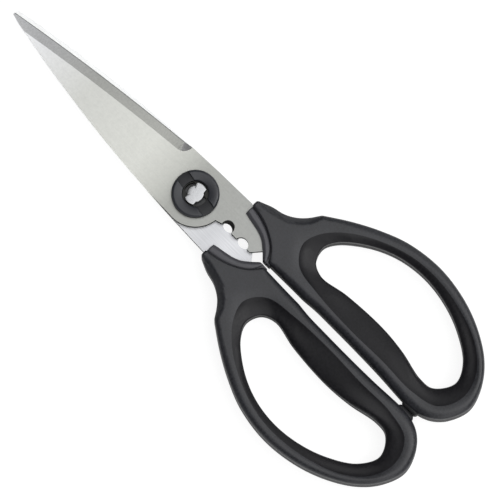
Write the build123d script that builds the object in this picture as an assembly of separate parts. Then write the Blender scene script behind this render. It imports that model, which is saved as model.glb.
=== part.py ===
from build123d import *
import os
from math import atan2, cos, degrees, radians, sin, sqrt

os.makedirs("parts", exist_ok=True)

# Kitchen shears that come apart at the pivot, closed and lying flat.
# All sizes are millimetres, measured from the pivot: Y runs towards the tip,
# X towards the handle of the upper blade, and Z is zero where the blades meet.

# The whole pair
overall_length = 222.0
handles_width = 90.0
tip_reach = 95.2
handle_end = overall_length - tip_reach
half_width = handles_width / 2
overrun = 4.0

# Blades: one stamping, with the lower blade the upper one turned over
blade_thickness = 2.5
blade_half_width = 12.0
blade_gap = 0.06
bevel_width = 4.0
edge_land = 0.3
heel_angle = 50.0

# Blade outline, as shares of the half width and of the reach of the tip
spine_shares = ((-0.213, 0.935), (-0.7125, 0.515), (-1.0, 0.0))
clip_shares = ((-0.105, 0.991), (-0.165, 0.965))
nose_share = (-0.045, 1.0)
edge_shares = ((0.0, 0.991), (0.5417, 0.568), (0.95, 0.136))
bevel_end_share = 0.181

# Tang of a blade, as shares of the handles' half width and reach
tang_overlap = 0.7
neck_drop = 2.3
tang_foot_shares = ((-0.0156, -0.2305), (0.0033, -0.2366), (0.0644, -0.2547))
tang_root_shares = ((0.118, -0.284), (0.178, -0.306), (0.300, -0.300), (0.330, -0.260), (0.2880, -0.205))
tang_shoulder_shares = (0.2770, -0.1340)
anchor_shares = ((0.240, -0.205), (0.215, -0.270))
anchor_radius = 1.8

# Herb and stem notches in the tang's inner edge
notch_shares = (-0.1340, -0.1972)
notch_radii = (2.6, 2.8)
notch_depths = (1.25, 1.6)
notch_sink_radius = 2.5
notch_sink_shift = 0.1

# Pivot stud, riveted in the lower blade, and the slot that lets it out
neck_radius = 3.15
running_clearance = 0.05
lug_reach = 4.35
lug_width = 4.4
lug_height = 1.8
lug_angle = 4.7
lug_clearance = 0.12
slot_angle = 80.7
head_break = 0.35
shank_radius = 2.5
rivet_clearance = 0.01
rivet_radius = 4.6
rivet_height = 1.2
rivet_slope = 1.6
rivet_rim = 0.35

# Pivot ring, staked to the upper blade
ring_clearance = 0.5
ring_bore = lug_reach + ring_clearance
ring_width = 4.0
ring_radius = ring_bore + ring_width
ring_height = 2.6
ring_bevel = 0.9
ring_lip = 0.35
channel_width = 5.3
channel_depth = 0.95
peg_radius = 0.8
peg_count = 3
peg_first_angle = 130.0
peg_short = 0.3

# Rigid core of a handle: a collar round the tang, and its root inside the web
core_half = 3.7
collar_break = 0.7
collar_gap = 1.1
collar_front_shares = ((0.1844, -0.1396), (0.1533, -0.1987), (0.0644, -0.2547))
collar_nose_share = -0.2737
collar_foot_share = -0.3013
core_back_shares = ((0.0756, -0.3115), (0.0933, -0.3707), (0.20, -0.42), (0.489, -0.3391), (0.4556, -0.2997))
core_side_shares = ((0.3822, -0.2603), (0.3289, -0.2050), (0.2933, -0.1396))

# Moulded shell of a handle; its edges step in and up in two slopes
shell_half = 5.8
shell_edge_shares = (0.0133, 0.0267)
shell_edge_drops = (1.4, 0.9)
crease_shares = ((0.2622, -0.1396), (0.2067, -0.2334), (0.0244, -0.3052))
shell_corner_share = (0.3200, -0.1396)
scoop_shares = ((0.3711, -0.1814), (0.4000, -0.2208), (0.4489, -0.2524), (0.5200, -0.2784), (0.6133, -0.3013))
loop_shares = ((0.744, -0.3707), (0.864, -0.4495), (0.958, -0.5363), (1.0, -0.6467), (0.962, -0.7571),
               (0.867, -0.8517), (0.724, -0.9306), (0.562, -0.9779), (0.367, -1.0), (0.184, -0.9779),
               (0.089, -0.9464), (0.038, -0.9069), (0.022, -0.8517), (0.026, -0.8123), (0.035, -0.7492),
               (0.040, -0.6467), (0.040, -0.5521), (0.038, -0.4850), (0.026, -0.4377))

# Soft liner round the finger hole, with its cushion on the inner arm
liner_half = 6.5
liner_edge = 0.4
hole_edge_width = 1.7
hole_edge_drop = 2.2
liner_shares = ((0.333, -0.3233), (0.489, -0.3375), (0.658, -0.3912), (0.800, -0.4732), (0.893, -0.5678),
                (0.918, -0.6546), (0.878, -0.7650), (0.769, -0.8715), (0.596, -0.9416), (0.378, -0.9637),
                (0.187, -0.9306), (0.122, -0.8517), (0.124, -0.7256), (0.116, -0.5994), (0.133, -0.4574),
                (0.184, -0.3628))
hole_shares = ((0.433, -0.3699), (0.547, -0.3880), (0.713, -0.4590), (0.820, -0.5426), (0.858, -0.6333),
               (0.829, -0.7248), (0.742, -0.8115), (0.598, -0.8880), (0.429, -0.9180), (0.269, -0.8817),
               (0.251, -0.8368), (0.302, -0.7468), (0.326, -0.6554), (0.304, -0.5174), (0.261, -0.4267),
               (0.313, -0.3857))

# Stops that meet when the pair is closed
stop_gap = 0.1
stop_half = 2.6
stop_depth = 3.2
stop_break = 0.4
stop_shares = (-0.8533, -0.9054)

# Heights that follow
inner_face = blade_gap / 2
outer_face = inner_face + blade_thickness
mid_blade = inner_face + blade_thickness / 2


def on_blade(share):
    """Point of the blade's outline from its shares."""
    return (share[0] * blade_half_width, share[1] * tip_reach)


def on_handle(share):
    """Point of a handle's outline from its shares."""
    return (share[0] * half_width, share[1] * handle_end)


def plan(outline):
    """Flat face inside a closed row of lines and curves."""
    return make_face([edge for piece in outline for edge in piece.edges()])


def prism(face, half):
    """Solid with the face as its plan, half a height above and below zero."""
    return slab(face, -half, half)


def slab(face, low, high):
    """Solid with the face as its plan, between two heights."""
    return Pos(0, 0, low) * extrude(face, amount=high - low)


def arcs(points, closed=False):
    """Row of arcs through the points, each arc tangent to the next."""
    guide = Spline(*points, periodic=closed).edge()
    marks = [Vector(*point) for point in points]
    ways = [guide.tangent_at(guide.param_at_point(mark)) for mark in marks]
    if closed:
        marks.append(marks[0])
        ways.append(ways[0])
    row = []
    for start, end, leave, arrive in zip(marks, marks[1:], ways, ways[1:]):
        chord = end - start
        square = 2 * (1 - leave.dot(arrive))
        linear = chord.dot(leave + arrive)
        reach = chord.dot(chord) / (linear + sqrt(linear**2 + square * chord.dot(chord)))
        first = start + leave * reach
        last = end - arrive * reach
        meet = (first + last) / 2
        row.append(TangentArc(start, meet, tangent=leave))
        row.append(TangentArc(meet, end, tangent=last - first))
    return row


def moulded(face, half, widths, drops, steep=None):
    """Flat moulding, alike above and below zero, whose edges step in and up.

    The two edges nearest the point called steep get the first slope only.
    """
    top = half - sum(drops)
    upper = Part()
    for width, drop in zip(widths, drops):
        top += drop
        step = slab(face, 0, top)
        cap = step.faces().sort_by(Axis.Z)[-1]
        edges = cap.edges()
        if steep and upper:
            edges = edges.sort_by_distance((*steep, top))[2:]
        step = chamfer(edges, width, drop, reference=cap)
        face = Pos(0, 0, -top) * step.faces().sort_by(Axis.Z)[-1]
        upper += step
    return upper + mirror(upper, Plane.XY)


def mouth(face, half, width, drop):
    """Cutter for a hole that flares out and up, alike above and below zero."""
    low = half - drop
    flare = degrees(atan2(width, drop))
    upper = slab(face, 0, low)
    upper += Pos(0, 0, low) * extrude(face, amount=drop, taper=-flare)
    upper += slab(offset(face, width), half, half + overrun)
    return upper + mirror(upper, Plane.XY)


def turned_over(solid):
    """The same piece on the other half of the pair."""
    return Rot(0, 180, 0) * solid


def bar(length, width, reach, angle):
    """Flat bar through the pivot with ends rounded on a circle of that reach."""
    return Rot(0, 0, angle) * (Rectangle(length, width) & Circle(reach))


def blade_face():
    """Outline of the upper blade with its tang and notches."""
    tip = [on_blade(share) for share in clip_shares]
    spine = [on_blade(share) for share in spine_shares]
    edge = [on_blade(share) for share in edge_shares]
    nose = on_blade(nose_share)
    foot = [on_handle(share) for share in tang_foot_shares]
    root = [on_handle(share) for share in tang_root_shares]
    shoulder = on_handle(tang_shoulder_shares)
    round_x = -2 * tang_overlap
    round_end = (round_x, -sqrt(blade_half_width**2 - round_x**2))
    heel = radians(heel_angle)
    round_middle = (-blade_half_width * cos(heel), -blade_half_width * sin(heel))
    neck = (-tang_overlap, round_end[1] - neck_drop)
    edges = [
        ThreePointArc(edge[2], edge[1], edge[0]),
        ThreePointArc(edge[0], nose, tip[0]),
        ThreePointArc(tip[0], tip[1], spine[0]),
        ThreePointArc(*spine),
        ThreePointArc(spine[2], round_middle, round_end),
        Line(round_end, neck),
        Line(neck, foot[0]),
        Line(foot[0], foot[1]),
        Line(foot[1], foot[2]),
        Line(foot[2], root[0]),
        *arcs([*root, shoulder]),
        Line(shoulder, (blade_half_width, 0)),
        Line((blade_half_width, 0), edge[2]),
    ]
    face = plan(edges)
    for share, radius, depth in zip(notch_shares, notch_radii, notch_depths):
        face -= Pos(depth - radius, share * handle_end) * Circle(radius)
    for share in anchor_shares:
        face -= Pos(*on_handle(share)) * Circle(anchor_radius)
    return face


def bevel_cutter():
    """Ground bevel: a shallow cone along the cutting edge with a round end."""
    edge = [on_blade(share) for share in edge_shares]
    arc = ThreePointArc(*edge)
    centre = arc.arc_center
    radius = arc.radius
    slope = (blade_thickness - edge_land) / bevel_width
    low = outer_face - blade_thickness + edge_land - slope * overrun
    high = outer_face + overrun
    ridge = radius - bevel_width - overrun / slope
    section = Polyline((ridge, high), (radius + overrun, low), (radius + overrun, high), close=True)
    wedge = revolve(Plane.XZ * make_face(section), Axis.Z, 360)
    end_y = bevel_end_share * tip_reach
    end_x = centre.X + sqrt(radius**2 - (end_y - centre.Y)**2)
    keep = Pos(blade_half_width, end_y + tip_reach / 2, outer_face)
    keep = keep * Box(2 * (blade_half_width + overrun), tip_reach, 2 * high)
    wedge = (Pos(centre.X, centre.Y) * wedge) & keep
    cone_height = slope * (bevel_width + overrun)
    cone = Cone(0, bevel_width + overrun, cone_height, align=(Align.CENTER, Align.CENTER, Align.MIN))
    cone = Pos(end_x, end_y, inner_face + edge_land) * cone
    return wedge + cone


def make_blade(hole):
    """Upper blade with the given hole for the pivot."""
    blade = slab(blade_face() - hole, inner_face, outer_face)
    blade -= bevel_cutter()
    sink = Cone(notch_depths[0] - notch_sink_shift, notch_sink_radius, blade_thickness)
    blade -= Pos(notch_sink_shift, notch_shares[0] * handle_end, mid_blade) * sink
    return blade


def make_core(blade):
    """Rigid core: collar round the tang, with its root inside the web."""
    front = [on_handle(share) for share in collar_front_shares]
    back = [on_handle(share) for share in core_back_shares]
    side = [on_handle(share) for share in core_side_shares]
    nose_x = collar_gap / 2
    nose = (nose_x, collar_nose_share * handle_end)
    foot = (nose_x, collar_foot_share * handle_end)
    edges = [
        ThreePointArc(*front),
        Line(front[2], nose),
        Line(nose, foot),
        Polyline(foot, *back, *side),
        Line(side[2], front[0]),
    ]
    core = prism(plan(edges) - liner_face(), core_half)
    arc_middle = (*on_handle(collar_front_shares[1]), 0)
    front_edges = core.edges().filter_by(Axis.Z, reverse=True).sort_by_distance(arc_middle)[:2]
    return chamfer(front_edges, collar_break) - blade


def shell_face():
    """Outline of a handle behind the collar, without its hole."""
    crease = [on_handle(share) for share in crease_shares]
    corner = on_handle(shell_corner_share)
    scoop = [on_handle(share) for share in scoop_shares]
    loop = [on_handle(share) for share in loop_shares]
    edges = [
        Line(crease[0], corner),
        *arcs([corner, *scoop]),
        *arcs([scoop[-1], *loop]),
        Line(loop[-1], crease[2]),
        ThreePointArc(crease[2], crease[1], crease[0]),
    ]
    return plan(edges)


def liner_face():
    """Outline of the soft liner, without the finger hole."""
    return plan(arcs([on_handle(share) for share in liner_shares], closed=True))


def hole_face():
    """Outline of the finger hole."""
    return plan(arcs([on_handle(share) for share in hole_shares], closed=True))


def make_shell(core, blade):
    """Moulded shell: a loop with stepped edges and a stop on its inner arm."""
    collar_corner = on_handle(collar_front_shares[0])
    edge_widths = [share * half_width for share in shell_edge_shares]
    shell = moulded(shell_face(), shell_half, edge_widths, shell_edge_drops, collar_corner)
    stop_top = stop_shares[0] * handle_end
    stop_low = stop_shares[1] * handle_end
    stop = Box(stop_depth, stop_top - stop_low, 2 * stop_half)
    stop = chamfer(stop.faces().sort_by(Axis.X)[0].edges(), stop_break)
    shell += Pos(stop_gap / 2 + stop_depth / 2, (stop_top + stop_low) / 2) * stop
    shell -= prism(liner_face(), shell_half + overrun)
    return shell - core - blade


def make_liner():
    """Soft liner, with a broken edge along its seam and a rounded finger hole."""
    liner = moulded(liner_face(), liner_half, (liner_edge,), (liner_edge,))
    return liner - mouth(hole_face(), liner_half, hole_edge_width, hole_edge_drop)


def make_stud():
    """Riveted stud: shank, neck that the upper blade turns on, and two lugs."""
    head_low = outer_face + lug_clearance
    neck = slab(Circle(neck_radius), -inner_face, head_low)
    plan_face = bar(2 * lug_reach, lug_width, lug_reach, lug_angle) + Circle(neck_radius)
    head = slab(plan_face, head_low, head_low + lug_height)
    head = chamfer(head.faces().sort_by(Axis.Z)[-1].edges(), head_break)
    shank = slab(Circle(shank_radius), -outer_face, -inner_face)
    rivet = slab(Circle(rivet_radius), -outer_face - rivet_height, -outer_face)
    face = rivet.faces().sort_by(Axis.Z)[0]
    rivet = chamfer(face.edges(), rivet_slope, rivet_height - rivet_rim, reference=face)
    return neck + head + shank + rivet


def make_ring():
    """Pivot ring: bevelled boss with a channel across it and pegs into the blade."""
    top = outer_face + ring_height
    section = Polyline(
        (ring_bore, outer_face),
        (ring_radius, outer_face),
        (ring_radius, top - ring_bevel),
        (ring_radius - ring_bevel, top - ring_lip),
        (ring_bore + ring_lip, top),
        (ring_bore, top - ring_lip),
        close=True,
    )
    ring = revolve(Plane.XZ * make_face(section), Axis.Z, 360)
    channel = Rot(0, 0, slot_angle) * Box(2 * ring_radius + overrun, channel_width, 2 * channel_depth)
    ring -= Pos(0, 0, top) * channel
    return ring + pegs(peg_radius, inner_face + peg_short, outer_face)


def pegs(radius, low, high):
    """Round pegs, or the holes for them, spaced evenly on the ring."""
    place = PolarLocations((ring_bore + ring_radius) / 2, peg_count, start_angle=peg_first_angle)
    return Part() + [spot * slab(Circle(radius), low, high) for spot in place]


slot_reach = lug_reach + lug_clearance
slot = bar(2 * slot_reach, lug_width + 2 * lug_clearance, slot_reach, slot_angle)
pivot_hole = slot + Circle(neck_radius + running_clearance)
front_blade = make_blade(pivot_hole) - pegs(peg_radius, inner_face - overrun, outer_face + overrun)
rear_blade = make_blade(Circle(shank_radius + rivet_clearance))
front_core = make_core(front_blade)
rear_core = make_core(rear_blade)
front_shell = make_shell(front_core, front_blade)
front_liner = make_liner()

nodes = {
    "front_blade": front_blade,
    "front_core": front_core,
    "front_shell": front_shell,
    "front_liner": front_liner,
    "pivot_ring": make_ring(),
    "pivot_stud": make_stud(),
    "rear_blade": turned_over(rear_blade),
    "rear_core": turned_over(rear_core),
    "rear_shell": turned_over(front_shell),
    "rear_liner": turned_over(front_liner),
}

# The origin goes below the middle of the pair, on the surface that it lies on
lift = liner_half
shift = Pos(0, (handle_end - tip_reach) / 2, lift)
for name, solid in nodes.items():
    export_step(shift * solid, f"parts/{name}.step")
print("pivot at", [round(value, 4) for value in shift.position])
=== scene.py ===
import math

import bmesh
import bpy
import numpy as np
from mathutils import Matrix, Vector


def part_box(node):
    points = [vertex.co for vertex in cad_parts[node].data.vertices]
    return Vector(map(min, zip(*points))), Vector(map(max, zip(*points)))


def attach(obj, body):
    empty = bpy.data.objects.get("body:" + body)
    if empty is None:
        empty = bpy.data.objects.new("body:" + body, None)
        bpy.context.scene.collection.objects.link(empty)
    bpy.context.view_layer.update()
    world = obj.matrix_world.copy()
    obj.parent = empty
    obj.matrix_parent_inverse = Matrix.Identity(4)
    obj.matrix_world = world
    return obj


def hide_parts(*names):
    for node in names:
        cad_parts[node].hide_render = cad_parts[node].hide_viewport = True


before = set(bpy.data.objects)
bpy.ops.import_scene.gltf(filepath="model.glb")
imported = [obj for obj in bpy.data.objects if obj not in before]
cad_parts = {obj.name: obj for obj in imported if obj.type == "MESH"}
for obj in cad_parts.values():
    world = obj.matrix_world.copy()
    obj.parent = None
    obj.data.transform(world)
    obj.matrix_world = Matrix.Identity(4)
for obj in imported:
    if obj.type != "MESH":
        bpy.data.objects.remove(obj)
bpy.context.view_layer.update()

# Kitchen shears, closed and lying flat. Plans are in millimetres from the pivot,
# with Y towards the tip and X towards the handle of the upper blade.

MM = 0.001
stud_low, stud_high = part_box("pivot_stud")
pivot = Vector(((stud_low.x + stud_high.x) / 2, (stud_low.y + stud_high.y) / 2, 0))
rest_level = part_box("front_liner")[1].z / 2
pivot.z = rest_level

# Outline of a handle's shell, in runs that meet at corners
crease_run = ((1.1, -37.0), (5.1, -34.4), (8.8, -29.1), (10.9, -23.3), (11.8, -17.7))
crown_run = ((11.8, -17.7), (14.4, -17.7))
scoop_run = ((14.4, -17.7), (16.7, -23.0), (18.0, -28.0), (20.2, -32.0), (23.4, -35.3), (27.6, -38.2))
loop_run = ((27.6, -38.2), (33.48, -47.0), (38.88, -57.0), (43.11, -68.0), (45.0, -82.0), (43.29, -96.0),
            (39.0, -108.0), (32.6, -118.0), (25.3, -124.0), (16.5, -126.8), (8.3, -124.0),
            (4.0, -120.0), (1.7, -115.0), (1.0, -108.0), (1.17, -103.0), (1.58, -95.0),
            (1.8, -82.0), (1.8, -70.0), (1.7, -61.5), (1.17, -55.5))
gap_run = ((1.17, -55.5), (1.1, -37.0))
seam_loop = ((15.0, -41.0), (22.0, -42.8), (29.6, -49.6), (36.0, -60.0), (40.2, -72.0), (41.3, -83.0),
             (39.5, -97.0), (34.6, -110.5), (26.8, -119.4), (17.0, -122.2), (8.4, -118.0), (5.5, -108.0),
             (5.6, -92.0), (5.2, -76.0), (6.0, -58.0), (8.3, -46.0))
hole_loop = ((19.5, -46.9), (24.6, -49.2), (32.1, -58.2), (36.9, -68.8), (38.6, -80.3), (37.3, -91.9),
             (33.4, -102.9), (26.9, -112.6), (19.3, -116.4), (12.1, -111.8), (11.3, -106.1), (13.6, -94.7),
             (14.66, -83.1), (13.7, -65.6), (11.75, -54.1), (14.1, -48.9))
loop_centre = (24.0, -78.0)

# Shell: how its rounded edge runs in and drops at points of the outline
shell_top = 5.8
seam_reach = 3.2
edge_forms = (
    # x, y, width, drop, fullness (1 is a flat bevel, 2 is round)
    (11.8, -17.7, 0.9, 1.2, 2.0), (14.2, -17.7, 0.9, 1.2, 2.0), (15.6, -20.4, 2.4, 2.1, 1.05),
    (18.0, -28.0, 2.6, 2.3, 1.05), (23.4, -35.3, 2.6, 2.1, 1.1), (27.6, -38.2, 2.0, 1.5, 1.7),
    (31.0, -43.0, 2.2, 1.8, 2.0), (38.9, -57.0, 3.2, 1.9, 2.0), (43.1, -68.0, 3.2, 2.0, 2.0),
    (45.0, -82.0, 3.0, 2.2, 2.0),
    (39.0, -108.0, 2.7, 2.4, 2.0), (32.6, -118.0, 2.4, 2.4, 2.0), (25.3, -124.0, 2.0, 2.2, 2.0),
    (16.5, -126.8, 2.6, 2.0, 1.9), (8.3, -124.0, 2.9, 1.8, 1.8), (4.0, -120.0, 3.4, 2.0, 1.8),
    (1.0, -108.0, 3.4, 3.4, 2.0), (1.8, -82.0, 3.1, 4.2, 2.1), (1.17, -50.0, 2.9, 4.0, 2.1),
    (1.1, -39.5, 2.0, 2.2, 2.0), (3.0, -36.0, 0.6, 0.9, 2.0), (8.8, -29.1, 0.55, 0.8, 2.0),
)

# Liner: its drop at the seam and at the hole, and its slope there, at points of the seam
liner_forms = (
    # x, y, drop at the seam, drop at the hole, slope at the seam, slope at the hole
    (15.0, -41.0, 0.4, 2.4, 0.7, 0.15), (22.0, -42.8, 0.2, 1.5, 0.4, 0.35),
    (29.6, -49.6, 0.05, 1.0, 0.05, 0.5), (36.0, -60.0, 0.15, 1.3, 0.15, 0.7),
    (40.2, -72.0, 0.3, 1.4, 0.25, 0.65), (41.3, -83.0, 0.4, 1.6, 0.3, 0.65),
    (39.5, -97.0, 0.5, 1.8, 0.35, 0.65), (34.6, -110.5, 0.7, 2.2, 0.45, 0.65),
    (26.8, -119.4, 0.7, 2.3, 0.45, 0.6), (17.0, -122.2, 0.35, 2.2, 0.25, 0.55),
    (8.4, -118.0, 0.3, 2.4, 0.35, 0.6), (5.5, -108.0, 0.15, 2.6, 0.25, 0.6),
    (5.6, -92.0, 0.1, 3.2, 0.36, 0.45), (5.2, -76.0, 0.1, 3.2, 0.36, 0.5),
    (6.0, -58.0, 0.2, 3.3, 0.5, 0.6), (8.3, -46.0, 0.4, 2.9, 0.7, 0.3),
)
hole_round = 0.6

# Fineness of the handles' meshes and limits of their roundings
curve_step = 0.05
shell_points = 560
shell_passes = 2
slant_passes = 20
least_slant = 0.3
seam_margin = 0.94
margin_start = 0.3
edge_steps = 11
flat_steps = 9
liner_points = 420
liner_steps = 17
hole_steps = 7
most_round = 0.35
wall_shares = (-0.5, 0.0, 0.5)
sharp_angle = 40
weld_gap = 1e-7

# Collar in front of a shell: its front wall and how far it runs under the shell
collar_front = ((8.3, -18.0), (7.75, -20.5), (7.2, -23.6), (6.5, -26.5), (5.25, -29.3), (2.9, -32.3))
collar_nose = ((2.9, -32.3), (0.55, -34.7))
collar_back = ((11.8, -18.0), (10.9, -23.3), (8.8, -29.1), (5.1, -34.4), (0.55, -36.6))
collar_top = 4.5
collar_groove = 0.7
collar_slope = 1.05
collar_under = 1.6
collar_round = 0.55
collar_steps = 90
collar_lip = 0.08
collar_land = 0.15
slope_shares = (0.3, 0.6, 0.8)
groove_steps = 9
groove_power = 5
under_drop = 0.1

# Stop on the inner arm
stop_low = (0.05, -114.9, -3.2)
stop_high = (3.6, -107.4, 3.2)
stop_round = 1.4
stop_segments = 6

# Tones of the blades at distances from the pivot, towards the tip: painted light and shade, darker by the
# pivot and lighter towards the tip
outer_tones = ((-40, "#949593"), (-8, "#959693"), (4, "#989995"), (13, "#B3B4AF"), (24, "#C4C5C0"),
               (55, "#C2C3BF"), (80, "#DADBDC"), (95, "#F1F2F4"))
inner_tones = ((-40, "#BCBDC0"), (-30, "#BABBBE"), (-22, "#C4C5C8"), (-14, "#B8B9BC"),
               (20, "#DADBDC"), (60, "#E8E9E9"), (95, "#F0F1F1"))
edge_land = 0.3
# Painted shade in the pivot hole: how far it reaches and how it fades
hole_shade_radius = 4.9
hole_shade_fade = 0.3

# Finish of the steel: sizes of its patterns, and where its walls are painted darker as shade or lighter as a
# painted highlight
mottle_mm = 1.6
brushed_mm = 0.4
brushed_length = 12.0
wheel_mm = 0.5
wheel_length = 7.0
steel_relief = 0.02
grain_low, grain_high = 0.3, 0.7
steep_face, flat_face = 0.72, 0.8
shaded_wall_end = 4
lit_wall_start = 12
runout_highlight_start = 8
face_margin = 0.04
edge_shadow_share = 0.3
edge_shadow_over = 0.22
scratch_mm = 0.5
cloud_mm = 14
plastic_relief = 0.05
level_fade = 0.1

# Blades and pivot heights above the meeting plane
blade_outer = 2.53
blade_inner = 0.03
ring_radius = 8.85
ring_height = 2.6
ring_steps = 128
ring_sharp_angle = 35
ring_edge = 0.14
ring_edge_segments = 3
ring_edge_angle = 28
ring_profile = (
    # radius, height above the blade
    (4.85, 0.0), (8.85, 0.0), (8.85, 1.7), (8.78, 2.0), (8.58, 2.3), (8.3, 2.5), (7.95, 2.58), (7.6, 2.57),
    (5.3, 2.38), (5.05, 2.28), (4.9, 2.1), (4.85, 1.9),
)
channel_width = 5.3
channel_depth = 0.95
channel_draft = 0.5
channel_over = 4
channel_span = 2.4
channel_angle = 80.7
peg_radius = 0.8
peg_count = 3
peg_circle = 6.85
peg_first_angle = 130.0
peg_foot = 0.33
lug_reach = 4.35
lug_width = 4.4
lug_angle = 4.7
lug_low = 2.65
lug_high = 4.45
lug_round = 0.35
neck_radius = 3.15
shank_radius = 2.5
rivet_radius = 4.6
rivet_height = 1.2
rivet_rim = 0.3
rivet_steps = 8
stem_steps = 72
stud_steps = 160
stud_passes = 2
head_steps = 5
head_foot = 0.12
head_rim = 0.04
head_dome = ((0.5, 0.0), (1.0, 0.03), (1.6, 0.05))


def linear(hex_colour):
    """Linear colour from an sRGB hex value."""
    parts = [int(hex_colour[i:i + 2], 16) / 255 for i in (1, 3, 5)]
    return [p / 12.92 if p <= 0.04045 else ((p + 0.055) / 1.055) ** 2.4 for p in parts] + [1.0]


def add(tree, kind, inputs=None, **settings):
    """Adds a node with its settings, and sets or links its inputs."""
    node = tree.nodes.new(kind)
    for name, value in settings.items():
        setattr(node, name, value)
    wire(tree, node, inputs or {})
    return node


def wire(tree, node, inputs):
    """Sets or links inputs of a node."""
    for name, value in inputs.items():
        if isinstance(value, bpy.types.NodeSocket):
            tree.links.new(value, node.inputs[name])
        else:
            node.inputs[name].default_value = value


# Curves and meshes

def run_points(points, step=curve_step):
    """Points along a smooth open curve through the given ones."""
    p = np.array(points, float)
    if len(p) == 2:
        count = max(2, int(np.linalg.norm(p[1] - p[0]) / step))
        return p[0] + (p[1] - p[0]) * np.linspace(0, 1, count)[:, None]
    p = np.vstack([2 * p[0] - p[1], p, 2 * p[-1] - p[-2]])
    return catmull(p, step)


def loop_points(points, step=curve_step):
    """Points along a smooth closed curve through the given ones."""
    p = np.array(points, float)
    return catmull(np.vstack([p[-1], p, p[0], p[1]]), step)


def catmull(p, step):
    """Centripetal curve through all but the first and last of the points."""
    rows = []
    for a, b, c, d in zip(p, p[1:], p[2:], p[3:]):
        t1 = math.sqrt(np.linalg.norm(b - a))
        t2 = t1 + math.sqrt(np.linalg.norm(c - b))
        t3 = t2 + math.sqrt(np.linalg.norm(d - c))
        count = max(3, int(np.linalg.norm(c - b) / step))
        t = np.linspace(t1, t2, count)[:-1, None]
        ab = (t1 - t) / t1 * a + t / t1 * b
        bc = (t2 - t) / (t2 - t1) * b + (t - t1) / (t2 - t1) * c
        cd = (t3 - t) / (t3 - t2) * c + (t - t2) / (t3 - t2) * d
        abc = (t2 - t) / t2 * ab + t / t2 * bc
        bcd = (t3 - t) / (t3 - t1) * bc + (t - t1) / (t3 - t1) * cd
        rows.append((t2 - t) / (t2 - t1) * abc + (t - t1) / (t2 - t1) * bcd)
    return np.vstack(rows + [p[-2:-1]])


def evenly(points, count):
    """The closed row of points again, evenly spaced."""
    closed = np.vstack([points, points[:1]])
    steps = np.linalg.norm(np.diff(closed, axis=0), axis=1)
    along = np.concatenate([[0], np.cumsum(steps)])
    want = np.linspace(0, along[-1], count, endpoint=False)
    return np.column_stack([np.interp(want, along, closed[:, k]) for k in range(2)])


def softened(points, passes):
    """The closed row of points with its corners rounded a little."""
    for _ in range(passes):
        points = 0.5 * points + 0.25 * (np.roll(points, 1, 0) + np.roll(points, -1, 0))
    return points


def on_rays(loop, angles):
    """Where rays from the loop's centre at the given angles cross it."""
    rel = loop - np.array(loop_centre)
    turn = np.unwrap(np.arctan2(rel[:, 1], rel[:, 0]))
    if turn[-1] < turn[0]:
        turn, rel = turn[::-1], rel[::-1]
    turn = np.concatenate([turn - 2 * np.pi, turn, turn + 2 * np.pi])
    reach = np.tile(np.linalg.norm(rel, axis=1), 3)
    base = turn[len(rel)]
    angles = (angles - base) % (2 * np.pi) + base
    reach = np.interp(angles, turn, reach)
    return np.array(loop_centre) + np.column_stack([np.cos(angles), np.sin(angles)]) * reach[:, None]


def forms_along(loop, forms):
    """Values of the forms at each point of the loop, blended along it."""
    steps = np.linalg.norm(np.roll(loop, -1, 0) - loop, axis=1)
    along = np.concatenate([[0], np.cumsum(steps)])
    total = along[-1]
    table = []
    for x, y, *values in forms:
        near = np.argmin((loop[:, 0] - x) ** 2 + (loop[:, 1] - y) ** 2)
        table.append((along[near], *values))
    table = np.array(sorted(table))
    spots = np.concatenate([table[:, 0] - total, table[:, 0], table[:, 0] + total])
    columns = range(1, table.shape[1])
    return np.column_stack([np.interp(along[:-1], spots, np.tile(table[:, k], 3)) for k in columns])


def tube_mesh(name, rings, capped=False):
    """Closed mesh from rings of points, the last joined to the first or both capped."""
    rings = np.asarray(rings)
    count, size = rings.shape[:2]
    corners = rings.reshape(-1, 3) * MM + np.array(pivot)
    faces = [tuple(range(size)), tuple((count - 1) * size + i for i in range(size))] if capped else []
    for r in range(count - 1 if capped else count):
        s = (r + 1) % count
        for i in range(size):
            k = (i + 1) % size
            faces.append((r * size + i, r * size + k, s * size + k, s * size + i))
    mesh = bpy.data.meshes.new(name)
    mesh.from_pydata(corners.tolist(), [], faces)
    outward(mesh)
    mesh.set_sharp_from_angle(angle=math.radians(sharp_angle))
    return mesh


def outward(mesh):
    """Turns every face outwards and shades it smooth."""
    bm = bmesh.new()
    bm.from_mesh(mesh)
    bmesh.ops.remove_doubles(bm, verts=bm.verts, dist=weld_gap)
    bmesh.ops.recalc_face_normals(bm, faces=bm.faces)
    for face in bm.faces:
        face.smooth = True
    bm.to_mesh(mesh)
    bm.free()


def shown(name, mesh):
    """Object for the mesh, at the origin."""
    piece = bpy.data.objects.new(name, mesh)
    bpy.context.scene.collection.objects.link(piece)
    return piece


def joined(target, meshes):
    """Puts further meshes into the target mesh."""
    bm = bmesh.new()
    bm.from_mesh(target)
    for mesh in meshes:
        bm.from_mesh(mesh)
        bpy.data.meshes.remove(mesh)
    bm.to_mesh(target)
    bm.free()


def finish_edges(piece, width, segments, angle):
    """Rounds the piece's sharp edges, found by angle, and applies the rounding."""
    bevel = piece.modifiers.new("edges", "BEVEL")
    bevel.width = width
    bevel.segments = segments
    bevel.limit_method = "ANGLE"
    bevel.angle_limit = math.radians(angle)
    bevel.harden_normals = False
    plain(piece)


def plain(piece):
    """Applies the piece's modifiers, so that it is a plain mesh."""
    bpy.context.view_layer.update()
    graph = bpy.context.evaluated_depsgraph_get()
    mesh = bpy.data.meshes.new_from_object(piece.evaluated_get(graph))
    old = piece.data
    piece.modifiers.clear()
    piece.data = mesh
    mesh.name = piece.name
    bpy.data.meshes.remove(old)


def turned_over(points):
    """The same points on the other half of the pair."""
    return points * np.array((-1.0, 1.0, -1.0))


# Handles

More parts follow.
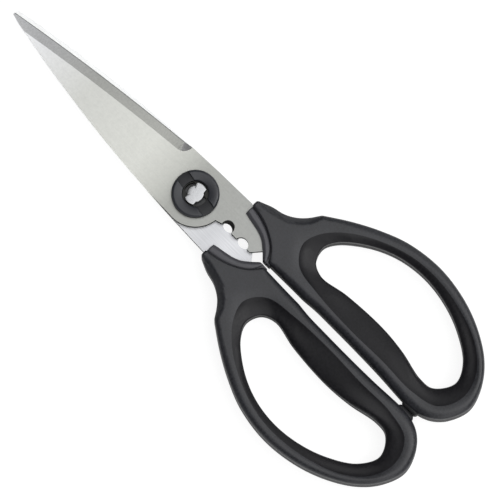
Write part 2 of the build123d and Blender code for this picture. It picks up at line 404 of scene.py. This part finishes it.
def edge_curve(distance, width, drop, fullness):
    """How far a rounded edge lies below the flat, from the distance to the outline."""
    s = np.clip(1 - distance / width, 0, 1)
    return drop * (1 - (1 - s ** fullness) ** (1 / fullness))


def nearest(points, loop):
    """Distance to the loop's lines and index of the nearest one, for each point."""
    a = loop
    b = np.roll(loop, -1, 0)
    ab = b - a
    length = (ab ** 2).sum(1)
    best = np.full(len(points), 1e9)
    index = np.zeros(len(points), int)
    for i in range(len(a)):
        rel = points - a[i]
        t = np.clip(rel @ ab[i] / length[i], 0, 1)
        gap = np.linalg.norm(rel - t[:, None] * ab[i], axis=1)
        closer = gap < best
        best[closer] = gap[closer]
        index[closer] = i
    return best, index


def shell_rings():
    """Rings of points of the shell of the upper blade's handle."""
    runs = (crease_run, crown_run, scoop_run, loop_run, gap_run)
    outline = np.vstack([run_points(run)[:-1] for run in runs])
    outline = softened(evenly(outline, shell_points), shell_passes)
    rel = outline - np.array(loop_centre)
    angles = np.arctan2(rel[:, 1], rel[:, 0])
    seam = on_rays(loop_points(seam_loop), angles)
    forms = forms_along(outline, edge_forms)
    seam_drops = forms_along(seam, liner_forms)[:, 0]
    tangent = np.roll(outline, -1, 0) - np.roll(outline, 1, 0)
    tangent /= np.linalg.norm(tangent, axis=1)[:, None]
    ray = seam - outline
    length = np.linalg.norm(ray, axis=1)
    slant = np.abs(tangent[:, 0] * ray[:, 1] - tangent[:, 1] * ray[:, 0]) / length
    slant = np.clip(softened(slant[:, None], slant_passes)[:, 0], least_slant, 1)
    shares = []
    for phi in np.linspace(0, 1, edge_steps):
        inset = forms[:, 0] * (1 - np.cos(phi * np.pi / 2)) / slant
        limit = seam_margin * (margin_start + (1 - margin_start) * phi)
        shares.append(np.minimum(inset / length, limit))
    last = shares[-1]
    for rest in np.linspace(0, 1, flat_steps)[1:]:
        shares.append(last + (1 - last) * rest)
    top = []
    for share in shares:
        plan = outline + ray * share[:, None]
        gap, index = nearest(plan, outline)
        width, drop, full = forms[index].T
        near_seam = np.clip(1 - nearest(plan, seam)[0] / seam_reach, 0, 1)
        height = shell_top - edge_curve(gap, width, drop, full) - seam_drops * near_seam ** 2
        top.append(np.column_stack([plan, height]))
    wall = [np.column_stack([outline, share * top[0][:, 2]]) for share in wall_shares]
    under = [ring * np.array((1, 1, -1)) for ring in top[::-1]]
    inner = [np.column_stack([seam, share * top[-1][:, 2]]) for share in wall_shares[::-1]]
    return wall + top + inner + under


def liner_rings():
    """Rings of points of the liner of the upper blade's handle."""
    seam = evenly(loop_points(seam_loop), liner_points)
    rel = seam - np.array(loop_centre)
    angles = np.arctan2(rel[:, 1], rel[:, 0])
    hole = on_rays(loop_points(hole_loop), angles)
    start, end, first_slope, slope = forms_along(seam, liner_forms).T
    ray = hole - seam
    length = np.linalg.norm(ray, axis=1)
    turn = np.minimum(hole_round, most_round * length)
    run = length - turn
    leave = first_slope * run
    arrive = slope * run
    top = []
    for share in np.linspace(0, 1, liner_steps):
        reach = share * run / length
        drop = (start * (2 * share ** 3 - 3 * share ** 2 + 1) + leave * (share ** 3 - 2 * share ** 2 + share)
                + end * (3 * share ** 2 - 2 * share ** 3) + arrive * (share ** 3 - share ** 2))
        top.append(np.column_stack([seam + ray * reach[:, None], shell_top - drop]))
    for phi in np.linspace(0, math.pi / 2, hole_steps)[1:]:
        reach = (run + turn * math.sin(phi)) / length
        drop = end + turn * (1 - math.cos(phi)) + slope * turn * math.sin(phi)
        top.append(np.column_stack([seam + ray * reach[:, None], shell_top - drop]))
    under = [ring * np.array((1, 1, -1)) for ring in top[::-1]]
    wall = [np.column_stack([hole, share * top[-1][:, 2]]) for share in wall_shares[::-1]]
    back = [np.column_stack([seam, share * top[0][:, 2]]) for share in wall_shares]
    return top + wall + under + back


def collar_rings():
    """Rings of points of the collar of the upper blade's handle, from its end to its nose."""
    front = np.vstack([run_points(collar_front)[:-1], run_points(collar_nose)])
    back = run_points(collar_back)
    front, back = [stretch(row, collar_steps) for row in (front, back)]
    across = back - front
    width = np.linalg.norm(across, axis=1)
    across /= width[:, None]
    rings = []
    for i in range(collar_steps):
        end = min(i, collar_steps - 1 - i) * np.linalg.norm(front[1] - front[0])
        fall = edge_curve(np.array([end]), collar_round, collar_round, 2.0)[0]
        high = collar_top - fall
        profile = [(0.0, 0.0), (0.0, high - collar_slope)]
        profile += [(collar_slope * share, high - collar_slope * (1 - share)) for share in slope_shares]
        profile += [(collar_slope, high - collar_lip), (collar_slope + collar_land, high)]
        low = high - collar_groove
        for share in np.linspace(0, 1, groove_steps)[1:]:
            spot = collar_slope + collar_land + (width[i] - collar_slope - collar_land) * share
            profile.append((spot, high - collar_groove * share ** groove_power))
        profile.append((width[i] + collar_under, low - under_drop))
        profile.append((width[i] + collar_under, 0.0))
        profile += [(reach, -level) for reach, level in profile[-2:0:-1]]
        rings.append([(*(front[i] + across[i] * reach), level) for reach, level in profile])
    return np.array(rings)


def stretch(points, count):
    """The open row of points again, evenly spaced."""
    steps = np.linalg.norm(np.diff(points, axis=0), axis=1)
    along = np.concatenate([[0], np.cumsum(steps)])
    want = np.linspace(0, along[-1], count)
    return np.column_stack([np.interp(want, along, points[:, k]) for k in range(2)])


def stop_mesh(turned):
    """Small stop on the inner arm, that meets the other handle's."""
    bm = bmesh.new()
    low, high = np.array(stop_low), np.array(stop_high)
    spots = [(x, y, z) for x in (low[0], high[0]) for y in (low[1], high[1]) for z in (low[2], high[2])]
    spots = np.array(spots)
    if turned:
        spots = turned_over(spots)
    verts = [bm.verts.new(spot * MM + np.array(pivot)) for spot in spots]
    for face in ((0, 1, 3, 2), (4, 6, 7, 5), (0, 4, 5, 1), (2, 3, 7, 6), (0, 2, 6, 4), (1, 5, 7, 3)):
        bm.faces.new([verts[i] for i in face])
    bmesh.ops.recalc_face_normals(bm, faces=bm.faces)
    bmesh.ops.bevel(bm, geom=bm.edges, offset=stop_round * MM, segments=stop_segments, affect="EDGES",
                     profile=0.5)
    mesh = bpy.data.meshes.new("stop")
    bm.to_mesh(mesh)
    bm.free()
    return mesh


# Pivot

def revolved(name, profile, base, steps=96, closed=False):
    """Solid of revolution about the pivot from (radius, height) pairs in millimetres."""
    bm = bmesh.new()
    rings = []
    for radius, height in profile:
        level = pivot.z + (base + height) * MM
        if radius == 0:
            rings.append([bm.verts.new((pivot.x, pivot.y, level))])
            continue
        ring = []
        for k in range(steps):
            turn = 2 * math.pi * k / steps
            x = pivot.x + radius * MM * math.cos(turn)
            y = pivot.y + radius * MM * math.sin(turn)
            ring.append(bm.verts.new((x, y, level)))
        rings.append(ring)
    pairs = list(zip(rings, rings[1:]))
    if closed:
        pairs.append((rings[-1], rings[0]))
    for low, high in pairs:
        for k in range(steps):
            m = (k + 1) % steps
            if len(low) == 1:
                bm.faces.new((low[0], high[k], high[m]))
            elif len(high) == 1:
                bm.faces.new((low[k], low[m], high[0]))
            else:
                bm.faces.new((low[k], low[m], high[m], high[k]))
    bmesh.ops.recalc_face_normals(bm, faces=bm.faces)
    mesh = bpy.data.meshes.new(name)
    bm.to_mesh(mesh)
    bm.free()
    return mesh


def channel_cutter():
    """Bar that cuts the channel across the top of the ring."""
    length = channel_span * ring_radius
    low = blade_outer + ring_height - channel_depth
    turn = math.radians(channel_angle)
    bm = bmesh.new()
    verts = []
    # The walls lean out by the draft for each depth of the channel
    ends = ((low, channel_width - channel_draft),
            (low + channel_over * channel_depth, channel_width + (channel_over - 1) * channel_draft))
    for z, width in ends:
        for along, across in ((-1, -1), (1, -1), (1, 1), (-1, 1)):
            a = along * length / 2
            c = across * width / 2
            x = a * math.cos(turn) - c * math.sin(turn)
            y = a * math.sin(turn) + c * math.cos(turn)
            verts.append(bm.verts.new((pivot.x + x * MM, pivot.y + y * MM, pivot.z + z * MM)))
    for face in ((0, 1, 2, 3), (4, 5, 6, 7), (0, 1, 5, 4), (1, 2, 6, 5), (2, 3, 7, 6), (3, 0, 4, 7)):
        bm.faces.new([verts[i] for i in face])
    bmesh.ops.recalc_face_normals(bm, faces=bm.faces)
    mesh = bpy.data.meshes.new("channel_cutter")
    bm.to_mesh(mesh)
    bm.free()
    return shown("channel_cutter", mesh)


def peg_tree(material):
    """Node tree that sets pegs evenly round a circle."""
    tree = bpy.data.node_groups.new("pegs_round_circle", "GeometryNodeTree")
    face = tree.interface
    sizes = {"Count": "NodeSocketInt"}
    for name in ("Circle radius", "Peg radius", "Peg length", "First angle"):
        sizes[name] = "NodeSocketFloat"
    for name, kind in sizes.items():
        face.new_socket(name, in_out="INPUT", socket_type=kind)
    face.new_socket("Centre", in_out="INPUT", socket_type="NodeSocketVector")
    face.new_socket("Pegs", in_out="OUTPUT", socket_type="NodeSocketGeometry")
    given = add(tree, "NodeGroupInput").outputs
    circle = add(tree, "GeometryNodeMeshCircle", {"Vertices": given["Count"],
                                                  "Radius": given["Circle radius"]})
    turn = add(tree, "ShaderNodeCombineXYZ", {"Z": given["First angle"]})
    placed = add(tree, "GeometryNodeTransform", {"Geometry": circle.outputs["Mesh"],
                                                 "Translation": given["Centre"],
                                                 "Rotation": turn.outputs["Vector"]})
    peg = add(tree, "GeometryNodeMeshCylinder", {"Vertices": 24, "Radius": given["Peg radius"],
                                                 "Depth": given["Peg length"]})
    spread = add(tree, "GeometryNodeInstanceOnPoints", {"Points": placed.outputs["Geometry"],
                                                        "Instance": peg.outputs["Mesh"]})
    real = add(tree, "GeometryNodeRealizeInstances", {"Geometry": spread.outputs["Instances"]})
    surfaced = add(tree, "GeometryNodeSetMaterial", {"Geometry": real.outputs["Geometry"],
                                                     "Material": material})
    add(tree, "NodeGroupOutput", {"Pegs": surfaced.outputs["Geometry"]})
    return tree


def pegs_mesh(material):
    """The ring's pegs as a plain mesh."""
    piece = shown("pegs", bpy.data.meshes.new("pegs"))
    tree = peg_tree(material)
    modifier = piece.modifiers.new("pegs", "NODES")
    modifier.node_group = tree
    length = blade_outer - peg_foot
    values = {
        "Count": peg_count,
        "Circle radius": peg_circle * MM,
        "Peg radius": peg_radius * MM,
        "Peg length": length * MM,
        "First angle": math.radians(peg_first_angle),
        "Centre": tuple(pivot + Vector((0, 0, (peg_foot + length / 2) * MM))),
    }
    for item in tree.interface.items_tree:
        if item.in_out == "INPUT":
            modifier[item.identifier] = values[item.name]
    plain(piece)
    mesh = piece.data
    bpy.data.objects.remove(piece)
    return mesh


def make_ring(material):
    """Pivot ring with its channel, soft edges and pegs."""
    turned = revolved("ring_moulding", ring_profile, blade_outer, ring_steps, closed=True)
    ring = shown("ring_moulding", turned)
    cutter = channel_cutter()
    cut = ring.modifiers.new("channel", "BOOLEAN")
    cut.operation = "DIFFERENCE"
    cut.solver = "EXACT"
    cut.object = cutter
    plain(ring)
    bpy.data.objects.remove(cutter)
    finish_edges(ring, ring_edge * MM, ring_edge_segments, ring_edge_angle)
    joined(ring.data, [pegs_mesh(material)])
    for face in ring.data.polygons:
        face.use_smooth = True
    ring.data.set_sharp_from_angle(angle=math.radians(ring_sharp_angle))
    return ring


def lug_radius(turn):
    """Reach of the stud's head at an angle from its lugs."""
    side = lug_width / 2 / max(abs(math.sin(turn)), 1e-6)
    return max(neck_radius, min(lug_reach, side))


def make_stud():
    """Riveted stud: shank, neck and a head with two lugs and polished edges."""
    head = []
    turns = [2 * math.pi * k / stud_steps for k in range(stud_steps)]
    reach = softened(np.array([[lug_radius(turn)] for turn in turns]), stud_passes)[:, 0]
    levels = [(head_foot, lug_low), (0.0, lug_low + head_foot), (0.0, lug_high - lug_round)]
    for k in range(1, head_steps + 1):
        phi = k / head_steps * math.pi / 2
        fall = lug_round * (1 - math.sin(phi)) + head_rim
        levels.append((lug_round * (1 - math.cos(phi)), lug_high - fall))
    levels += [(lug_round + inset, lug_high + rise) for inset, rise in head_dome]
    for inset, level in levels:
        ring = []
        for turn, r in zip(turns, reach):
            angle = turn + math.radians(lug_angle)
            ring.append(((r - inset) * math.cos(angle), (r - inset) * math.sin(angle), level))
        head.append(ring)
    bm = bmesh.new()
    rows = [[bm.verts.new(np.array(spot) * MM + np.array(pivot)) for spot in ring] for ring in head]
    for low, high in zip(rows, rows[1:]):
        for k in range(stud_steps):
            m = (k + 1) % stud_steps
            bm.faces.new((low[k], low[m], high[m], high[k]))
    bm.faces.new(rows[0][::-1])
    bm.faces.new(rows[-1])
    bmesh.ops.recalc_face_normals(bm, faces=bm.faces)
    mesh = bpy.data.meshes.new("stud_head")
    bm.to_mesh(mesh)
    bm.free()
    stem = [(0, lug_low), (neck_radius, lug_low), (neck_radius, -blade_inner), (shank_radius, -blade_inner),
            (shank_radius, -blade_outer), (rivet_radius, -blade_outer),
            (rivet_radius, -blade_outer - rivet_rim)]
    for k in range(1, rivet_steps + 1):
        phi = k / rivet_steps * math.pi / 2
        dome = rivet_rim + (rivet_height - rivet_rim) * math.sin(phi)
        stem.append((rivet_radius * math.cos(phi) if k < rivet_steps else 0, -blade_outer - dome))
    joined(mesh, [revolved("stud_stem", stem, 0, stem_steps)])
    piece = shown("pivot_stud_steel", mesh)
    for face in mesh.polygons:
        face.use_smooth = True
    mesh.set_sharp_from_angle(angle=math.radians(sharp_angle))
    return piece


# Materials

def new_material(name):
    """Empty node material with its shader; returns the material, tree and shader."""
    material = bpy.data.materials.new(name)
    material.use_nodes = True
    tree = material.node_tree
    tree.nodes.clear()
    shader = add(tree, "ShaderNodeBsdfPrincipled")
    add(tree, "ShaderNodeOutputMaterial", {"Surface": shader.outputs["BSDF"]})
    return material, tree, shader


def per_metre(size_mm):
    """Texture scale at which one feature has the given size."""
    return 1 / (size_mm * MM)


def satin_ground_steel():
    """Stainless sheet, ground satin: pale warm grey with a soft mottle, painted darker by the pivot.

    The bevel keeps the short lines of its wheel, and the inner face is brushed and painted brighter.
    """
    material, tree, shader = new_material("satin_ground_stainless")
    place = add(tree, "ShaderNodeTexCoord").outputs["Object"]
    axes = add(tree, "ShaderNodeSeparateXYZ", {0: place}).outputs
    height = add(tree, "ShaderNodeMath", {0: axes["Z"], 1: pivot.z}, operation="SUBTRACT")
    height = add(tree, "ShaderNodeMath", {0: height.outputs[0]}, operation="ABSOLUTE").outputs[0]

    def tones(stops):
        """Tone that changes along the blade, from distances to the pivot."""
        low, high = stops[0][0], stops[-1][0]
        along = add(tree, "ShaderNodeMapRange", {"Value": axes["Y"], "From Min": pivot.y + low * MM,
                                                 "From Max": pivot.y + high * MM})
        ramp = add(tree, "ShaderNodeValToRGB", {"Fac": along.outputs["Result"]})
        points = ramp.color_ramp.elements
        while len(points) < len(stops):
            points.new(0.5)
        for point, (spot, tone) in zip(points, stops):
            point.position = (spot - low) / (high - low)
            point.color = linear(tone)
        return ramp.outputs["Color"]

    def lines(across_mm, along_mm, turned=False):
        """Fine lines, so far apart and so long, along the blade or turned across it."""
        size = (along_mm, across_mm, across_mm) if turned else (across_mm, along_mm, across_mm)
        scale = tuple(per_metre(value) for value in size)
        spread = add(tree, "ShaderNodeMapping", {"Vector": place, "Scale": scale})
        return add(tree, "ShaderNodeTexNoise", {"Vector": spread.outputs["Vector"], "Scale": 1.0,
                                                "Detail": 3.0, "Roughness": 0.6}).outputs["Fac"]

    # Painted light and shade: the tones are darker by the pivot and lighter towards the tip
    outer = tones(outer_tones)
    inner = tones(inner_tones)
    # Mottle from tumbling, brushed lines and, on the bevel, the lines of the wheel
    mottle = add(tree, "ShaderNodeTexNoise", {"Vector": place, "Scale": per_metre(mottle_mm), "Detail": 5.0,
                                              "Roughness": 0.75}).outputs["Fac"]
    brushed = lines(brushed_mm, brushed_length)
    wheel = lines(wheel_mm, wheel_length, turned=True)
    satin = add(tree, "ShaderNodeMix", {"Factor": 0.7, "A": brushed, "B": mottle}).outputs["Result"]

    def band(low, high):
        """One where the height above the meeting plane lies between two values, else zero."""
        above = add(tree, "ShaderNodeMath", {0: height, 1: low * MM}, operation="GREATER_THAN").outputs[0]
        below = add(tree, "ShaderNodeMath", {0: height, 1: high * MM}, operation="LESS_THAN").outputs[0]
        return add(tree, "ShaderNodeMath", {0: above, 1: below}, operation="MULTIPLY").outputs[0]

    bevel = band(edge_land, blade_outer - face_margin)
    inside = band(-1.0, edge_land)
    # Painted shadow: a dark line along the cutting edge, where it lies over the other blade
    edge_shadow = band(edge_land * edge_shadow_share, edge_land + edge_shadow_over)
    # Painted shade darkens the inner face and the hole's wall round the stud
    from_axis = add(tree, "ShaderNodeVectorMath", {0: place, 1: (1.0, 1.0, 0.0)}, operation="MULTIPLY")
    from_axis = add(tree, "ShaderNodeVectorMath", {0: from_axis.outputs["Vector"],
                                                   1: (pivot.x, pivot.y, 0.0)},
                    operation="DISTANCE").outputs["Value"]
    hole_shade = add(tree, "ShaderNodeMapRange", {"Value": from_axis, "From Min": hole_shade_radius * MM,
                                            "From Max": (hole_shade_radius + hole_shade_fade) * MM, "To Min": 0.1,
                                            "To Max": 1.0})
    tone = add(tree, "ShaderNodeMix", {"Factor": inside, "A": outer, "B": inner}, data_type="RGBA")
    tone = tone.outputs["Result"]
    grain = add(tree, "ShaderNodeMix", {"Factor": bevel, "A": satin, "B": wheel}).outputs["Result"]
    grain = add(tree, "ShaderNodeMix", {"Factor": inside, "A": grain, "B": brushed}).outputs["Result"]
    lift = add(tree, "ShaderNodeMapRange", {"Value": grain, "From Min": grain_low, "From Max": grain_high,
                                            "To Min": 0.86, "To Max": 1.1}).outputs["Result"]
    edge_shadow_tone = add(tree, "ShaderNodeMapRange", {"Value": edge_shadow, "To Min": 1.0, "To Max": 0.5})
    lift = add(tree, "ShaderNodeMath", {0: lift, 1: edge_shadow_tone.outputs["Result"]}, operation="MULTIPLY")
    lift = lift.outputs[0]
    lift = add(tree, "ShaderNodeMath", {0: lift, 1: hole_shade.outputs["Result"]}, operation="MULTIPLY").outputs[0]
    # Steep walls are painted darker by the tang, as shade in its notches and edges, and lighter along the
    # blade, as a painted highlight
    painted_wall_tone = add(tree, "ShaderNodeMapRange", {"Value": axes["Y"], "From Min": pivot.y + shaded_wall_end * MM,
                                            "From Max": pivot.y + lit_wall_start * MM, "To Min": 0.2,
                                            "To Max": 1.7}).outputs["Result"]
    normal = add(tree, "ShaderNodeNewGeometry").outputs["Normal"]
    normal = add(tree, "ShaderNodeSeparateXYZ", {0: normal}).outputs
    facing = add(tree, "ShaderNodeMath", {0: normal["Z"]}, operation="ABSOLUTE").outputs[0]
    cut = add(tree, "ShaderNodeMapRange", {"Value": facing, "From Min": steep_face, "From Max": flat_face,
                                           "To Min": painted_wall_tone, "To Max": 1.0}).outputs["Result"]
    lift = add(tree, "ShaderNodeMath", {0: lift, 1: cut}, operation="MULTIPLY").outputs[0]
    # Faces of the bevel's run-out that turn towards the tip are painted lighter, a painted highlight
    ahead = add(tree, "ShaderNodeMath", {0: axes["Y"], 1: pivot.y + runout_highlight_start * MM},
                operation="GREATER_THAN").outputs[0]
    runout_highlight = add(tree, "ShaderNodeMapRange", {"Value": normal["Y"], "From Min": 0.1, "From Max": 0.3,
                                             "To Max": 1.9}).outputs["Result"]
    runout_highlight = add(tree, "ShaderNodeMath", {0: ahead, 1: runout_highlight, 2: 1.0}, operation="MULTIPLY_ADD").outputs[0]
    lift = add(tree, "ShaderNodeMath", {0: lift, 1: runout_highlight}, operation="MULTIPLY").outputs[0]
    shade = add(tree, "ShaderNodeVectorMath", {0: tone, "Scale": lift}, operation="SCALE").outputs["Vector"]
    rough = add(tree, "ShaderNodeMapRange", {"Value": grain, "From Min": grain_low, "From Max": grain_high,
                                             "To Min": 0.33, "To Max": 0.42}).outputs["Result"]
    torn = add(tree, "ShaderNodeMapRange", {"Value": facing, "From Min": steep_face, "From Max": flat_face,
                                            "To Min": 0.4, "To Max": 0.0}).outputs["Result"]
    rough = add(tree, "ShaderNodeMath", {0: rough, 1: torn}).outputs[0]
    bump = add(tree, "ShaderNodeBump", {"Height": grain, "Strength": 0.1, "Distance": steel_relief * MM})
    bump = bump.outputs["Normal"]
    wire(tree, shader, {"Base Color": shade, "Metallic": 1.0, "Roughness": rough, "Normal": bump})
    return material


def polished_stud_steel():
    """Stainless stud, barrelled and polished: bright with a trace of fine scratches."""
    material, tree, shader = new_material("polished_stud_steel")
    place = add(tree, "ShaderNodeTexCoord").outputs["Object"]
    scratch = add(tree, "ShaderNodeTexNoise", {"Vector": place, "Scale": per_metre(scratch_mm),
                                               "Detail": 5.0})
    rough = add(tree, "ShaderNodeMapRange", {"Value": scratch.outputs["Fac"], "To Min": 0.2, "To Max": 0.32})
    wire(tree, shader, {"Base Color": linear("#A2A3A5"), "Metallic": 1.0,
                        "Roughness": rough.outputs["Result"]})
    return material


def moulded_plastic(name, tone, light, grain_mm, rough, relief, shade_below, index=1.5):
    """Moulded nylon: near black, with the fine grain of an eroded mould and a soft broad sheen.

    Nearer to the meeting plane than a given height it is rougher, and its colour is painted darker there as
    shade on the lower walls and hollows.
    """
    material, tree, shader = new_material(name)
    place = add(tree, "ShaderNodeTexCoord").outputs["Object"]
    grain = add(tree, "ShaderNodeTexNoise", {"Vector": place, "Scale": per_metre(grain_mm), "Detail": 3.0,
                                             "Roughness": 0.6})
    cloud = add(tree, "ShaderNodeTexNoise", {"Vector": place, "Scale": per_metre(cloud_mm), "Detail": 2.0})
    fine, broad = grain.outputs["Fac"], cloud.outputs["Fac"]
    blend = add(tree, "ShaderNodeMix", {"Factor": 0.3, "A": fine, "B": broad})
    shade = add(tree, "ShaderNodeValToRGB", {"Fac": blend.outputs["Result"]})
    for point, spot, colour in zip(shade.color_ramp.elements, (0.35, 0.65), (tone, light)):
        point.position = spot
        point.color = linear(colour)
    level = add(tree, "ShaderNodeMapRange", {"Value": fine, "From Min": grain_low, "From Max": grain_high,
                                             "To Min": rough - 0.06, "To Max": rough + 0.08})
    bump = add(tree, "ShaderNodeBump", {"Height": fine, "Strength": relief, "Distance": plastic_relief * MM})
    colour, finish = shade.outputs["Color"], level.outputs["Result"]
    height = add(tree, "ShaderNodeSeparateXYZ", {0: place}).outputs["Z"]
    height = add(tree, "ShaderNodeMath", {0: height, 1: pivot.z}, operation="SUBTRACT")
    height = add(tree, "ShaderNodeMath", {0: height.outputs[0]}, operation="ABSOLUTE").outputs[0]
    edge = shade_below * MM
    # Painted shade: the colour is darker below the given height
    unshaded = add(tree, "ShaderNodeMapRange", {"Value": height, "From Min": edge - level_fade * MM,
                                                "From Max": edge + level_fade * MM}).outputs["Result"]
    shade_scale = add(tree, "ShaderNodeMapRange", {"Value": unshaded, "To Min": 0.4, "To Max": 1.0})
    colour = add(tree, "ShaderNodeVectorMath", {0: colour, "Scale": shade_scale.outputs["Result"]},
                 operation="SCALE")
    duller = add(tree, "ShaderNodeMapRange", {"Value": unshaded, "To Min": 0.25, "To Max": 0.0})
    finish = add(tree, "ShaderNodeMath", {0: finish, 1: duller.outputs["Result"]})
    wire(tree, shader, {"Base Color": colour.outputs["Vector"], "Roughness": finish.outputs[0], "IOR": index,
                        "Normal": bump.outputs["Normal"]})
    return material


blade_steel = satin_ground_steel()
stud_steel = polished_stud_steel()
# Tone, light tone, grain in mm, roughness, relief, painted shade below a height in mm and, for the rubber,
# its IOR
ring_plastic = moulded_plastic("smooth_moulded_nylon_ring", "#1F2127", "#292B31", 0.5, 0.34, 0.05, 4.5)
core_plastic = moulded_plastic("smooth_moulded_nylon_core", "#434348", "#4F4F54", 0.5, 0.42, 0.06, 3.0)
shell_plastic = moulded_plastic("grained_moulded_nylon_shell", "#17181C", "#2E2F34", 0.8, 0.42, 0.3, 3.2)
liner_rubber = moulded_plastic("soft_moulded_rubber_liner", "#0A0A0E", "#18171B", 0.9, 0.45, 0.5, 2.2,
                               1.38)

# Pieces

handle_bodies = (("front", "upper_half", False), ("rear", "lower_half", True))
shell_shape = shell_rings()
liner_shape = liner_rings()
collar_shape = collar_rings()
for side, body, turned in handle_bodies:
    for part, shape, material, slot in (("shell", shell_shape, shell_plastic, "shell_plastic"),
                                        ("liner", liner_shape, liner_rubber, "liner_rubber"),
                                        ("core", collar_shape, core_plastic, "core_plastic")):
        rings = [turned_over(ring) for ring in shape] if turned else shape
        mesh = tube_mesh(f"{side}_{part}_moulding", rings, capped=part == "core")
        if part == "shell":
            joined(mesh, [stop_mesh(turned)])
        piece = shown(f"{side}_{part}_moulding", mesh)
        mesh.materials.append(material)
        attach(piece, body)
        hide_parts(f"{side}_{part}")

ring = make_ring(ring_plastic)
ring.data.materials.clear()
ring.data.materials.append(ring_plastic)
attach(ring, "upper_half")
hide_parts("pivot_ring")

stud = make_stud()
stud.data.materials.append(stud_steel)
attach(stud, "lower_half")
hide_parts("pivot_stud")

for node in ("front_blade", "rear_blade"):
    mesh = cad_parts[node].data
    mesh.materials.clear()
    mesh.materials.append(blade_steel)

# Floor, light and camera

floor_mesh = bpy.data.meshes.new("floor")
floor_half = 2.0
floor_signs = ((-1, -1), (1, -1), (1, 1), (-1, 1))
floor_corners = [(x * floor_half, y * floor_half, 0) for x, y in floor_signs]
floor_mesh.from_pydata(floor_corners, [], [(0, 1, 2, 3)])
floor = shown("floor", floor_mesh)
floor_paint = bpy.data.materials.new("pale_floor")
floor_paint.use_nodes = True
tree = floor_paint.node_tree
tree.nodes.clear()
path = add(tree, "ShaderNodeLightPath").outputs
seen = add(tree, "ShaderNodeMath", {0: path["Is Camera Ray"], 1: path["Is Glossy Ray"]}, operation="MAXIMUM")
seen = add(tree, "ShaderNodeMath", {0: seen.outputs[0], 1: path["Is Transmission Ray"]}, operation="MAXIMUM")
glow = add(tree, "ShaderNodeEmission", {"Color": linear("#FFFFFF"), "Strength": 0.86})
paint = add(tree, "ShaderNodeBsdfDiffuse", {"Color": linear("#8F8F8F")})
both = add(tree, "ShaderNodeAddShader", {0: glow.outputs[0], 1: paint.outputs[0]})
pale = add(tree, "ShaderNodeBsdfDiffuse", {"Color": linear("#D8D8D8")})
mixed = add(tree, "ShaderNodeMixShader", {0: seen.outputs[0], 1: pale.outputs[0], 2: both.outputs[0]})
add(tree, "ShaderNodeOutputMaterial", {"Surface": mixed.outputs[0]})
floor_mesh.materials.append(floor_paint)

world = bpy.data.worlds.new("studio")
bpy.context.scene.world = world
world.use_nodes = True
tree = world.node_tree
tree.nodes.clear()
path = add(tree, "ShaderNodeLightPath").outputs
room = add(tree, "ShaderNodeBackground", {"Color": linear("#FFFFFF"), "Strength": 0.12})
backdrop = add(tree, "ShaderNodeBackground", {"Color": linear("#FFFFFF"), "Strength": 1.0})
mixed = add(tree, "ShaderNodeMixShader", {0: path["Is Camera Ray"], 1: room.outputs[0],
                                          2: backdrop.outputs[0]})
add(tree, "ShaderNodeOutputWorld", {"Surface": mixed.outputs[0]})

# Directions of the picture
picture_turn = math.radians(-44.23)
picture_right = Vector((math.cos(picture_turn), math.sin(picture_turn), 0))
picture_up = Vector((-math.sin(picture_turn), math.cos(picture_turn), 0))


def softbox(name, right, up, height, size, radiance):
    """Square area light facing the pivot, placed along the picture's axes."""
    light = bpy.data.lights.new(name, "AREA")
    light.shape = "SQUARE"
    light.size = size
    light.energy = radiance * math.pi * size * size
    lamp = bpy.data.objects.new(name, light)
    bpy.context.scene.collection.objects.link(lamp)
    lamp.location = picture_right * right + picture_up * up + Vector((0, 0, height))
    lamp.rotation_euler = (-lamp.location).to_track_quat("-Z", "Y").to_euler()
    lamp.visible_camera = False


# Name, right, up, height and size in metres, and radiance
softbox("overhead_softbox", 0.30, -0.10, 1.0, 1.2, 1.85)
softbox("right_softbox", 0.85, 0.05, 0.85, 0.5, 3.0)
softbox("near_softbox", 0.35, -1.15, 0.6, 0.8, 1.8)
softbox("side_softbox", 0.67, 0.82, 0.62, 0.6, 1.2)

# Camera: tip to the upper left, a little below the straight view from above
picture_mm = 183.2
lens_mm = 600.0
sensor_mm = 36.0
tilt = math.radians(8.6)
look_at = pivot + Vector((0.19, -28.47, 0)) * MM
camera_data = bpy.data.cameras.new("camera")
camera_data.lens = lens_mm
camera_data.sensor_width = sensor_mm
camera_data.sensor_fit = "HORIZONTAL"
camera_data.clip_start = 0.05
camera_data.clip_end = 20
camera = bpy.data.objects.new("camera", camera_data)
bpy.context.scene.collection.objects.link(camera)
distance = lens_mm / sensor_mm * picture_mm * MM
camera.location = look_at + (Vector((0, 0, math.cos(tilt))) - picture_up * math.sin(tilt)) * distance
camera.rotation_euler = (tilt, 0, picture_turn)
bpy.context.scene.camera = camera

bpy.context.scene.view_settings.view_transform = "Standard"
